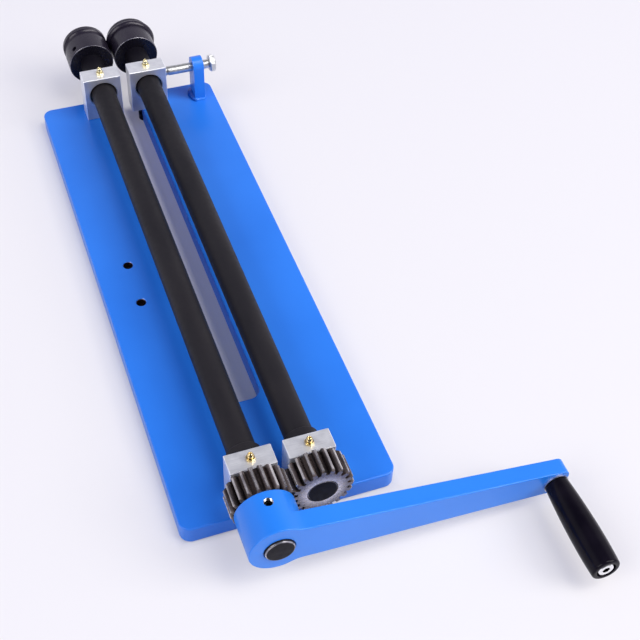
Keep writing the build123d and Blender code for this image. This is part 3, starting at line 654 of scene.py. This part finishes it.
shaft_black = blackened_steel(
    "shaft_black", shaft_tones, shaft_rough, 2400, 0.15, wear=1.0, worn_to=shaft_worn_to, shade_past_blocks=True
)
collar_black = blackened_steel("collar_black", shaft_tones, shaft_rough, 2400, 0.15)
die_black = blackened_steel("die_black", die_tones, die_rough, 1500, 0.45, wear=0.6, worn_to=die_worn_to)
print("made", shaft_black.name, collar_black.name, die_black.name)

# %% [markdown]
# The gears are bare steel under a film of brown grease. The tips of the teeth are rubbed bright, and the
# roots hold the grease, so the tone could follow each tooth's outline, but the distance from the gear's
# axis says the same in one number.

# %% Gear steel
grease_black = (0.014, 0.011, 0.010)
grease_brown = (0.070, 0.047, 0.036)
flank_steel = (0.250, 0.205, 0.180)
steel_grey = (0.32, 0.30, 0.31)
steel_bright = (0.98, 0.94, 0.92)
face_dark = (0.270, 0.245, 0.250)
face_pale = (0.870, 0.800, 0.775)
face_metal = 0.45
tip_metal = (0.25, 0.95)
gear_rough = (0.20, 0.34)
tip_band = (0.7, 0.25)
clean_root = 2.4
pale_ring = (14, 0.5)


def gear_steel(name, x, z, root, tip):
    """Dark grease on the flanks and roots, bright rubbed tips, and ground end faces darker at the rim."""
    tree = Tree(name)
    reach = distance_from(tree, (x * MM, 0, z * MM), (1, 0, 1))
    streaks = grain(tree, 240.0, (1, 0.12, 1), 4.0)
    blotches = spread(tree, grain(tree, 160.0, (1, 0.4, 1), 5.0), 0.40, 1.0, 0.36, 0.58)
    at_tip = mask(tree, reach, (tip - tip_band[0]) * MM, (tip - tip_band[1]) * MM)
    rubbed = product(tree, at_tip, blotches)
    grease = blend(tree, mask(tree, streaks, 0.38, 0.62), grease_black, grease_brown)
    climb = mask(tree, reach, (root + clean_root) * MM, tip * MM)
    wiped = product(tree, climb, spread(tree, streaks, 0.2, 1.0, 0.36, 0.60))
    flank = blend(tree, wiped, grease, flank_steel)
    bright = blend(tree, mask(tree, streaks, 0.35, 0.65), steel_grey, steel_bright)
    sides = blend(tree, rubbed, flank, bright)
    end_face = mask(tree, facing(tree, "Y"), 0.9, 0.97)
    middle_ring = mask(tree, reach, (root - pale_ring[1]) * MM, pale_ring[0] * MM)
    face_marks = product(tree, middle_ring, spread(tree, grain(tree, 90.0, detail=5.0), 0.6, 1.0))
    ground = blend(tree, face_marks, face_dark, face_pale)
    tips = spread(tree, rubbed, *tip_metal, 0.0, 1.0)
    raise_surface(tree, grain(tree, 1.0, (900, 25, 900), 3.0), 0.03 * MM, 0.3)
    return tree.finish(
        Base_Color=blend(tree, end_face, sides, ground),
        Roughness=spread(tree, grain(tree, 300.0, detail=4.0), *gear_rough),
        Metallic=largest(tree, product(tree, end_face, face_metal), tips),
        Specular_IOR_Level=0.35,
    )


# %% [markdown]
# Small hardware: yellow brass for the grease nipples, bright zinc plate for the adjusting screw and the
# grip's screw, oiled bronze for the bushes, plain black oxide for the socket screws, and glossy moulded
# plastic for the grip. A single flat tone would look like paint at this size, so each metal is mottled
# between two.


# %% Small hardware materials
def plain_metal(name, dark, pale, scale, *rough):
    """A metal with a fine mottle between two tones."""
    tree = Tree(name)
    mottle = mask(tree, grain(tree, scale, detail=4.0))
    raise_surface(tree, grain(tree, scale * 6, detail=2.0), 0.01 * MM, 0.4)
    return tree.finish(
        Base_Color=blend(tree, mottle, dark, pale),
        Roughness=spread(tree, grain(tree, scale * 1.7, detail=3.0), *rough),
        Metallic=1.0,
    )


def moulded_plastic(name, dark, pale):
    """Glossy black plastic with a faint moulding ripple."""
    tree = Tree(name)
    tone = mask(tree, grain(tree, 60.0, detail=3.0))
    raise_surface(tree, grain(tree, 90.0, (1, 0.3, 1), 1.0), 0.06 * MM, 0.3)
    return tree.finish(
        Base_Color=blend(tree, tone, dark, pale),
        Roughness=spread(tree, grain(tree, 180.0, detail=4.0), 0.06, 0.11),
        IOR=1.45,
        Specular_IOR_Level=0.12,
    )


def socket_steel(name, node, radius, dark, pale, shadow):
    """Bright steel whose socket is painted near black as painted shade: within a radius of the axis and
    behind the end face.
    """
    low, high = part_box(node)
    tree = Tree(name)
    reach = distance_from(tree, (low + high) / 2, (1, 0, 1))
    inside = mask(tree, reach, (radius + 0.1) * MM, radius * MM)
    behind_face = mask(tree, place_along(tree, "Y"), low.y + 0.1 * MM, low.y + 0.3 * MM)
    bright = blend(tree, mask(tree, grain(tree, 400.0, detail=4.0)), dark, pale)
    return tree.finish(
        Base_Color=blend(tree, product(tree, inside, behind_face), bright, shadow),
        Roughness=spread(tree, grain(tree, 680.0, detail=3.0), 0.14, 0.24),
        Metallic=1.0,
    )


brass = plain_metal("yellow_brass", (0.56, 0.42, 0.19), (0.80, 0.65, 0.36), 500.0, 0.16, 0.28)
# Painted light: the far nipples get a paler copy of the brass.
far_brass_painted_light = plain_metal("far_brass_painted_light", (0.60, 0.52, 0.30), (0.84, 0.78, 0.54), 500.0, 0.20, 0.32)
zinc = plain_metal("zinc_plate", (0.52, 0.53, 0.55), (0.70, 0.71, 0.73), 400.0, 0.28, 0.38)
# Painted reflection: the washer's zinc is darker and bluer, for the blue arm that it mirrors.
zinc_painted_blue_reflection = plain_metal("zinc_painted_blue_reflection", (0.42, 0.43, 0.50), (0.60, 0.61, 0.68), 400.0, 0.30, 0.42)
cut_steel = plain_metal("cut_steel", (0.40, 0.40, 0.42), (0.70, 0.70, 0.72), 900.0, 0.12, 0.20)
bronze = plain_metal("oiled_bronze", (0.07, 0.055, 0.04), (0.16, 0.12, 0.08), 500.0, 0.30, 0.45)
black_screw = plain_metal("black_oxide", (0.015, 0.015, 0.018), (0.05, 0.05, 0.055), 500.0, 0.30, 0.45)
bright_steel = socket_steel(
    "bright_steel", "grip_spindle", 3.5, (0.80, 0.80, 0.82), (0.95, 0.95, 0.97), (0.03, 0.03, 0.035)
)
plastic = moulded_plastic("moulded_plastic", (0.004, 0.003, 0.006), (0.008, 0.006, 0.010))
print("made", len(bpy.data.materials), "materials so far")

# %% [markdown]
# The CAD nodes whose shape is already right only change material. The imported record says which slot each
# node has, so one table from slot to material dresses them all, and a second one names the few that
# differ.

# %% Materials for the CAD nodes
slot_materials = {
    "blue_paint": plate_enamel,
    "milled_aluminium": aluminium,
    "oiled_bronze": bronze,
    "yellow_brass": brass,
    "blackened_steel": black_screw,
    "gear_steel": black_screw,
    "plated_steel": zinc,
    "black_plastic": plastic,
}
own_materials = {
    "crank_arm": crank_enamel,
    "grip_spindle": bright_steel,
    "grip_washer": zinc_painted_blue_reflection,
    "far_fixed_block": far_aluminium_painted_light_and_shade,
    "far_sliding_block": far_aluminium_painted_light_and_shade,
}
for part in frame["record"]["subparts"]:
    node = part["node"]
    finish = own_materials.get(node, slot_materials[part["material_slot"]])
    frame["nodes"][node].data.materials[0] = finish

# %% [markdown]
# A shaft is one long turned bar. Its front end is rounded, and at the far end it steps down to the spigot
# that carries the die. Two cylinders would leave a joint inside, while one profile that is carried round
# the axis gives the whole bar with its shoulder.

# %% Shafts
shaft_radius = 12.7
spigot_radius = 10.98
shoulder_round = 0.2
spigot_round = 1.0


def shaft(node, body, end_round):
    """A turned bar between the ends of its CAD node, with a spigot as long as the die."""
    low, high, axis = extent(node)
    shoulder = extent("lower_die")[0].y
    profile = soften([
        (0, low.y, 0), (shaft_radius, low.y, end_round), (shaft_radius, shoulder, shoulder_round),
        (spigot_radius, shoulder, 0), (spigot_radius, high.y, spigot_round), (0, high.y, 0),
    ])
    return settle(surface(node, turned(profile, axis.x, axis.z)), shaft_black, body, "blackened_steel", node)


shaft("lower_shaft", "crank_and_lower_shaft", 2.2)
shaft("upper_shaft", "upper_shaft_set", 1.0)

# %% [markdown]
# Each gear is a star-shaped outline carried along the shaft. Straight-sided teeth would be simpler, but
# they look like a toy's. The outline of a real tooth follows the involute: at radius r the tooth is
# narrower than at the base circle by the involute of the pressure angle there. The teeth repeat every 18
# degrees. The rows run out of the bore, across the front face, over the bevel at the teeth's ends, along
# the teeth and back inside.

# %% Gears
teeth = 20
module = 2.5
pressure = radians(20.0)
thinning = 0.26
pitch_radius = teeth * module / 2
tip_radius = pitch_radius + module
root_radius = pitch_radius - 1.35 * module
base_radius = pitch_radius * np.cos(pressure)
slide_bore = 12.72
bevel_in, bevel_back = 2.2, 1.6
bevel_lip = 0.05
bore_chamfer = 0.6
gear_hole = 3.0
gear_crease = 24.0


def involute(angle):
    """tan a - a"""
    return np.tan(angle) - angle


def gear_outline(phase, flank_steps=10, arc_steps=4):
    """Radius and angle of each outline point: up one flank, over the tip, down the other, along the root."""
    flank = np.linspace(base_radius, tip_radius, flank_steps)
    at_pitch = pi / (2 * teeth) - thinning / (2 * pitch_radius)
    half = at_pitch + involute(pressure) - involute(np.arccos(np.minimum(1, base_radius / flank)))
    tip_angle = np.linspace(-half[-1], half[-1], arc_steps)[1:-1]
    step = tau / teeth
    root_angle = np.linspace(half[0], step - half[0], arc_steps + 2)
    radius = np.concatenate([
        flank, np.full(len(tip_angle), tip_radius), flank[::-1], np.full(len(root_angle), root_radius),
    ])
    angle = np.concatenate([-half, tip_angle, half[::-1], root_angle])
    every = phase + step * np.arange(teeth)[:, None] + angle[None]
    return np.tile(radius, teeth), every.ravel()


def gear(node, body, phase, screw_angle):
    """A gear between the faces of its CAD node, drilled for its set screw.

    Where the outline reaches past the flat part of the face, the face falls back in proportion.
    """
    low, high, axis = extent(node)
    radius, angle = gear_outline(phase)
    bore = np.full_like(radius, slide_bore)
    flat = np.minimum(radius, tip_radius - bevel_in)
    back = bevel_lip + (radius - flat) * bevel_back / bevel_in
    rows = [
        (bore, low.y + bore_chamfer), (bore + bore_chamfer, low.y), (flat, low.y), (radius, low.y + back),
        (radius, high.y - back), (flat, high.y), (bore + bore_chamfer, high.y),
        (bore, high.y - bore_chamfer),
    ]
    points = np.array([
        gather(axis.x + r * np.cos(angle), y, axis.z + r * np.sin(angle)) for r, y in rows
    ])
    piece = surface(node, points * MM, loop_rows=True, sharp=gear_crease)
    screw_hole(piece, tuple(axis), screw_angle, gear_hole, tip_radius + 2)
    material = gear_steel(node + "_steel", axis.x, axis.z, root_radius, tip_radius)
    return settle(piece, material, body, "gear_steel", node)


half_step = pi / teeth
gear("lower_gear", "crank_and_lower_shaft", half_step, radians(-90))
gear("upper_gear", "upper_shaft_set", 0.0, radians(-90) + half_step)

# %% [markdown]
# The dies are turned too. Both have a slightly rounded rim. The lower one has a hollow groove, and the
# upper one a raised bead that rolls in it. A half circle would make the ridge too round, so it rises as a
# power of a half sine, which gives it full shoulders.

# %% Dies
die_bore = 11.0
die_bore_round = 0.5
die_rim_round = 1.2
die_hole = 3.0
die_hole_place = 8.0
ridge_place = 28.2
ridge_power = 0.7


def ridge(centre, radius, width, height, steps=28):
    """Points of a raised or sunk ridge: radius + height sin(pi t) to a power."""
    share = np.linspace(0, 1, steps)
    rise = height * np.sin(pi * share) ** ridge_power
    return gather(radius + rise, centre + (share - 0.5) * width)


def die(node, body, near_radius, far_radius, ridge_width, ridge_height, screw_angle):
    """A ring with one ridge or groove, drilled for its set screw."""
    low, high, axis = extent(node)
    centre = low.y + ridge_place
    near_side = soften([
        (die_bore, low.y + 1, 0), (die_bore, low.y, die_bore_round), (near_radius, low.y, die_rim_round),
        (near_radius, centre - ridge_width / 2, 0),
    ])
    far_side = soften([
        (far_radius, centre + ridge_width / 2, 0), (far_radius, high.y, die_rim_round),
        (die_bore, high.y, die_bore_round), (die_bore, high.y - 1, 0),
    ])
    middle = ridge(centre, far_radius, ridge_width, ridge_height)[1:-1]
    profile = np.concatenate([near_side, middle, far_side])
    piece = surface(node, turned(profile, axis.x, axis.z, 128), loop_rows=True)
    screw_hole(piece, (axis.x, low.y + die_hole_place, axis.z), screw_angle, die_hole, near_radius + 3)
    return settle(piece, die_black, body, "blackened_steel", node)


die("lower_die", "crank_and_lower_shaft", 24.2, 24.2, 9.4, -2.7, radians(131.4))
die("upper_die", "upper_shaft_set", 24.3, 24.8, 8.0, 2.9, radians(-60))

# %% [markdown]
# A thrust collar sits behind each near block. It is a plain ring with a set screw hole below, so the solid
# would nearly do, but its sharp rims catch no light. The same profile and drill as before round them.

# %% Collars
collar_bore_round = 0.4
collar_rim_round = 0.9
collar_hole = 2.5
collar_hole_angle = radians(-75)


def collar(node, body):
    """A ring between the faces of its CAD node."""
    low, high, axis = extent(node)
    outer = (high.x - low.x) / 2
    profile = soften([
        (slide_bore, low.y + 1, 0), (slide_bore, low.y, collar_bore_round),
        (outer, low.y, collar_rim_round), (outer, high.y, collar_rim_round),
        (slide_bore, high.y, collar_bore_round), (slide_bore, high.y - 1, 0),
    ])
    piece = surface(node, turned(profile, axis.x, axis.z), loop_rows=True)
    screw_hole(piece, tuple(axis), collar_hole_angle, collar_hole, outer + 2)
    return settle(piece, collar_black, body, "blackened_steel", node)


collar("lower_collar", "crank_and_lower_shaft")
collar("upper_collar", "upper_shaft_set")

# %% [markdown]
# A hexagon can be turned as well: its radius depends on the angle, because a flat lies at distance f from
# the middle and so at f / cos of the angle from the flat's own normal. A cone that cuts the corners, as on
# a real screw head, is the smaller of the two radii. That makes heads, nipples and sockets one kind of
# surface.


# %% Hexagons as turned pieces
def hex_turned(rows, around=96):
    """Rows of (radius, height, flat distance or zero): round, or the hexagon cut off at the radius."""
    angle = full_turn(around)
    from_flat = (angle + pi / 6) % (pi / 3) - pi / 6
    rings = []
    for radius, height, flat in rows:
        reach = np.minimum(radius, flat / np.cos(from_flat)) if flat else radius
        rings.append(gather(reach * np.cos(angle), reach * np.sin(angle), height))
    return np.array(rings)


# %% [markdown]
# A grease nipple has a hexagon to screw it in, a waist, and a round head with a small hole where the
# grease gun presses a ball. From above, that hole is the dark dot in the middle of the gold ring. It is
# only a few millimetres tall, but its gold is what the eye finds first on the pale block, so it gets its
# real shape.

# %% Grease nipples
hex_flat = 3.6
hex_corner = hex_flat / np.cos(pi / 6)
nipple_height = 7.4
ball_radius = 2.8
ball_from, ball_to = -0.75, 1.05
shank_radius = 2.98
shank_depth = 5.4


def nipple(node, body, finish):
    """A brass nipple standing on its block, as tall as its CAD node above the block's top.

    The head is a ball from waist to tip: radius R cos a at height R sin a, stretched to reach the tip.
    """
    high, axis = extent(node)[1:]
    top = high.z
    base = top - nipple_height
    foot = base - shank_depth
    centre = top - ball_radius
    tilt = np.linspace(ball_from, ball_to, 18)
    ball = [(ball_radius * np.cos(a), centre + ball_radius * np.sin(a) / np.sin(ball_to), 0) for a in tilt]
    rows = [
        (0, foot, 0), (2.6, foot, 0), (shank_radius, foot + 0.5, 0), (shank_radius, base, 0),
        (hex_corner * 0.9, base, hex_flat), (hex_corner, base + 0.3, hex_flat),
        (hex_corner, base + 2.2, hex_flat), (hex_corner * 0.86, base + 2.6, hex_flat),
        (2.3, base + 2.7, 0), *ball, (1.2, top - 0.15, 0),
        (1.05, top - 0.3, 0), (1.0, top - 1.6, 0), (0, top - 1.9, 0),
    ]
    points = hex_turned(rows) + np.array([axis.x, axis.y, 0])
    return settle(surface(node, points * MM), finish, body, "yellow_brass", node)


for name, body, finish in (
    ("near_fixed_nipple", "frame", brass), ("far_fixed_nipple", "frame", far_brass_painted_light),
    ("near_pivot_nipple", "upper_carriage", brass), ("far_sliding_nipple", "upper_carriage", far_brass_painted_light),
):
    nipple(name, body, finish)

# %% [markdown]
# The adjusting screw. A stack of rings would look like a thread from afar, but a real one is a single
# ridge that climbs one pitch for each turn: at angle a and distance x, a wave of (x / pitch - a / turn)
# lifts the surface from the thread's root to its outer radius. The ridges are rounded, as on a rolled
# thread that has been in use. The wave fades out at both ends, and a head with cut corners closes the
# screw.

# %% Adjusting screw
thread_pitch = 1.5
thread_outer = 4.98
thread_depth = 0.14
thread_power = 0.7
rod_radius = 4.1
rod_tip_radius = 3.6
tip_hole_radius = 2.6
tip_hole_depth = 6.2
head_flat = 8.5
head_height = 6.4
screw_around = 48


def thread_wave(turns):
    """A rolled thread: (1 - cos(turns)) / 2 to a power under one, which rounds and widens the ridges."""
    return (0.5 - 0.5 * np.cos(tau * turns)) ** thread_power


def threaded_rows(start, end, around, per_pitch=10):
    """Points along Z whose radius is the outer radius - depth x (1 - wave), plain at both ends."""
    count = int((end - start) / thread_pitch * per_pitch)
    along = np.linspace(start, end, count)[:, None]
    angle = full_turn(around)
    fade = np.clip(np.minimum(along - start, end - along) / thread_pitch, 0, 1)
    wave = thread_wave(along / thread_pitch - angle / tau)
    radius = thread_outer - thread_depth * (1 - wave * fade)
    return gather(radius * np.cos(angle), radius * np.sin(angle), along)


def adjusting_screw(node, body):
    """Threaded rod with a hollow tip and a hexagon head, along X."""
    low, high, axis = extent(node)
    under = high.x - head_height
    corner = head_flat / np.cos(pi / 6)
    hole_end = low.x + tip_hole_depth
    start = hex_turned([
        (0, hole_end, 0), (tip_hole_radius, hole_end, 0), (tip_hole_radius, low.x, 0),
        (rod_tip_radius, low.x, 0), (rod_radius, low.x + 0.5, 0),
    ], screw_around)
    thread = threaded_rows(low.x + 0.6, under - 1.0, screw_around)
    head = hex_turned([
        (rod_radius, under - 0.9, 0), (rod_radius, under, 0), (head_flat * 0.93, under, 0),
        (head_flat * 0.94, under + 0.3, 0), (corner, under + 0.9, head_flat),
        (corner, high.x - 1.4, head_flat), (head_flat * 0.98, high.x - 0.35, head_flat),
        (head_flat * 0.90, high.x, 0), (0, high.x, 0),
    ], screw_around)
    rows = np.concatenate([start, thread, head])
    points = stand_along(rows - np.array([0, 0, low.x]), (low.x, axis.y, axis.z), (1, 0, 0))
    return settle(surface(node, points, sharp=35.0), zinc, body, "plated_steel", node)


adjusting_screw("adjuster_screw", "adjusting_screw")

# %% [markdown]
# The hub's set screw sits deep in its hole, so the bare thread above it shows: bright ridges in a dark
# hole. It could be cut into the hub, but that solid stays as it is. So it is a thin ring that lines the
# hole: its outer wall is plain, and its inner wall is the same climbing wave, facing inwards.

# %% Thread in the hub's hole
hub_hole = 3.98
hub_thread_depth = 0.55
hub_pitch = 1.25
hub_from, hub_to = 21.6, 24.9
hub_fade = 0.4
hub_wall = 0.05


def hub_thread(name, body):
    """A ring in the hub's hole: inner radius = hole radius - wall - thread depth x wave."""
    axis = extent("lower_shaft")[2]
    hole_y = extent("hub_screw")[2].y
    angle = full_turn(screw_around)
    height = np.linspace(hub_from, hub_to, 34)[:, None]
    fade = np.clip(np.minimum(height - hub_from, hub_to - height) / hub_fade, 0, 1)
    inner = hub_hole - hub_wall - hub_thread_depth * fade * thread_wave(height / hub_pitch - angle / tau)
    radius = np.concatenate([inner, np.full((2, screw_around), hub_hole)])
    height = np.concatenate([height, [[hub_to]], [[hub_from]]])
    points = gather(axis.x + radius * np.cos(angle), hole_y + radius * np.sin(angle), axis.z + height)
    return settle(surface(name, points * MM, loop_rows=True, sharp=40.0), cut_steel, body, "blackened_steel")


hub_thread("hub_thread", "crank_and_lower_shaft")

# %% [markdown]
# The weld round the lug's foot. The bead follows the foot's outline, a rectangle with rounded corners, and
# its cross-section is a quarter round. Each pass of the torch leaves a ripple, which a bump map would only
# paint on, so the bead's size itself pulses along the way, and it is heavier on the side of the shafts.

# %% Weld bead
bead_leg = 2.5
bead_ripples = 34
bead_mean, bead_pulse, bead_drift = 0.86, 0.08, 0.06
bead_extra = 1.6
bead_round = 0.8
bead_inset = 0.25
bead_root = 0.4
bead_steps = 360
corner_power = 6.0


def rounded_rectangle(half_x, half_y):
    """Points and outward directions, evenly spaced by angle round a rectangle with round corners.

    Its radius is (|cos a / half x| ^ n + |sin a / half y| ^ n) ^ (-1 / n).
    """
    turn = full_turn(bead_steps)
    c, s = np.cos(turn), np.sin(turn)
    reach = (np.abs(c / half_x) ** corner_power + np.abs(s / half_y) ** corner_power) ** (-1 / corner_power)
    place = gather(reach * c, reach * s)
    along = np.roll(place, -1, 0) - np.roll(place, 1, 0)
    out = gather(along[:, 1], -along[:, 0])
    return place, out / np.linalg.norm(out, axis=1)[:, None]


def weld_bead(node, body):
    """A rippled quarter-round bead on the plate round the lug.

    Its size is the leg x (mean + pulse |sin(ripples t / 2)| + drift sin(3 t + 1)), more on the shafts' side.
    """
    low, high, centre = extent("adjuster_lug")
    plate_top = plate_high.z / MM
    half_x, half_y = (high.x - low.x) / 2, (high.y - low.y) / 2
    place, out = rounded_rectangle(half_x - bead_inset, half_y - bead_inset)
    path = full_turn(bead_steps)
    pulse = np.abs(np.sin(bead_ripples * path / 2))
    ripple = bead_mean + bead_pulse * pulse + bead_drift * np.sin(3 * path + 1.0)
    heavier = 1 + bead_extra * np.clip(-np.cos(path), 0, 1) ** 1.5
    size = (bead_leg * ripple * heavier)[None]
    angle = np.linspace(0, pi / 2, 9)[:, None]
    reach = size * np.cos(angle) ** bead_round
    height = size * np.sin(angle) ** bead_round
    ring = np.concatenate([place[None] + out[None] * reach[..., None], height[..., None] + plate_top], -1)
    root = np.concatenate([(place - out * bead_root)[None], ring[-1:, :, 2:]], -1)
    foot = root * (1, 1, 0) + (0, 0, plate_top)
    points = np.concatenate([ring, root, foot]) + np.array([centre.x, centre.y, 0])
    piece = surface(node, points * MM, loop_rows=True, sharp=50.0)
    return settle(piece, weld_enamel, body, "blue_paint", node)


weld_bead("lug_weld", "frame")

# %% [markdown]
# The grip is a moulded handle that swells towards its end and closes round a recess. A straight cone would
# look stiff, so its side is made of two parabolas that meet at the fullest place, where the swell has no
# corner, and the rim is fully rounded.

# %% Grip
grip_root, grip_full, grip_end = 10.3, 13.1, 12.5
root_round, rim_round, recess_round, small_round = 1.4, 2.4, 0.8, 0.3
grip_from, fullest, grip_to = 0.02, 0.72, 0.97
grip_bore = 5.1
recess_radius, recess_depth = 8.3, 4.6


def grip(node, body):
    """Turned handle: radius = fullest radius - a drop times (distance from the fullest place) squared."""
    low, high, axis = extent(node)
    recess = low.y + recess_depth
    share = np.linspace(grip_from, grip_to, 40)
    before = (grip_full - grip_root) * ((fullest - share) / fullest) ** 2
    after = (grip_full - grip_end) * ((share - fullest) / (grip_to - fullest)) ** 2
    radius = grip_full - np.where(share < fullest, before, after)
    side = gather(radius, high.y - share * (high.y - low.y))
    inner_end = soften([
        (grip_bore, high.y - 2, 0), (grip_bore, high.y, small_round), (radius[0], high.y, root_round),
        (*side[0], 0),
    ])
    rim = soften([
        (*side[-1], 0), (radius[-1], low.y, rim_round), (recess_radius, low.y, recess_round),
        (recess_radius, recess, small_round), (grip_bore, recess, 0), (grip_bore, recess + 2, 0),
    ], 8)
    profile = np.concatenate([inner_end, side[1:-1], rim])
    piece = surface(node, turned(profile, axis.x, axis.z, 112), loop_rows=True)
    return settle(piece, plastic, body, "black_plastic", node)


grip("handle_grip", "grip")

# %% [markdown]
# Last, the view layer is brought up to date.

# %% Update the view layer
bpy.context.view_layer.update()
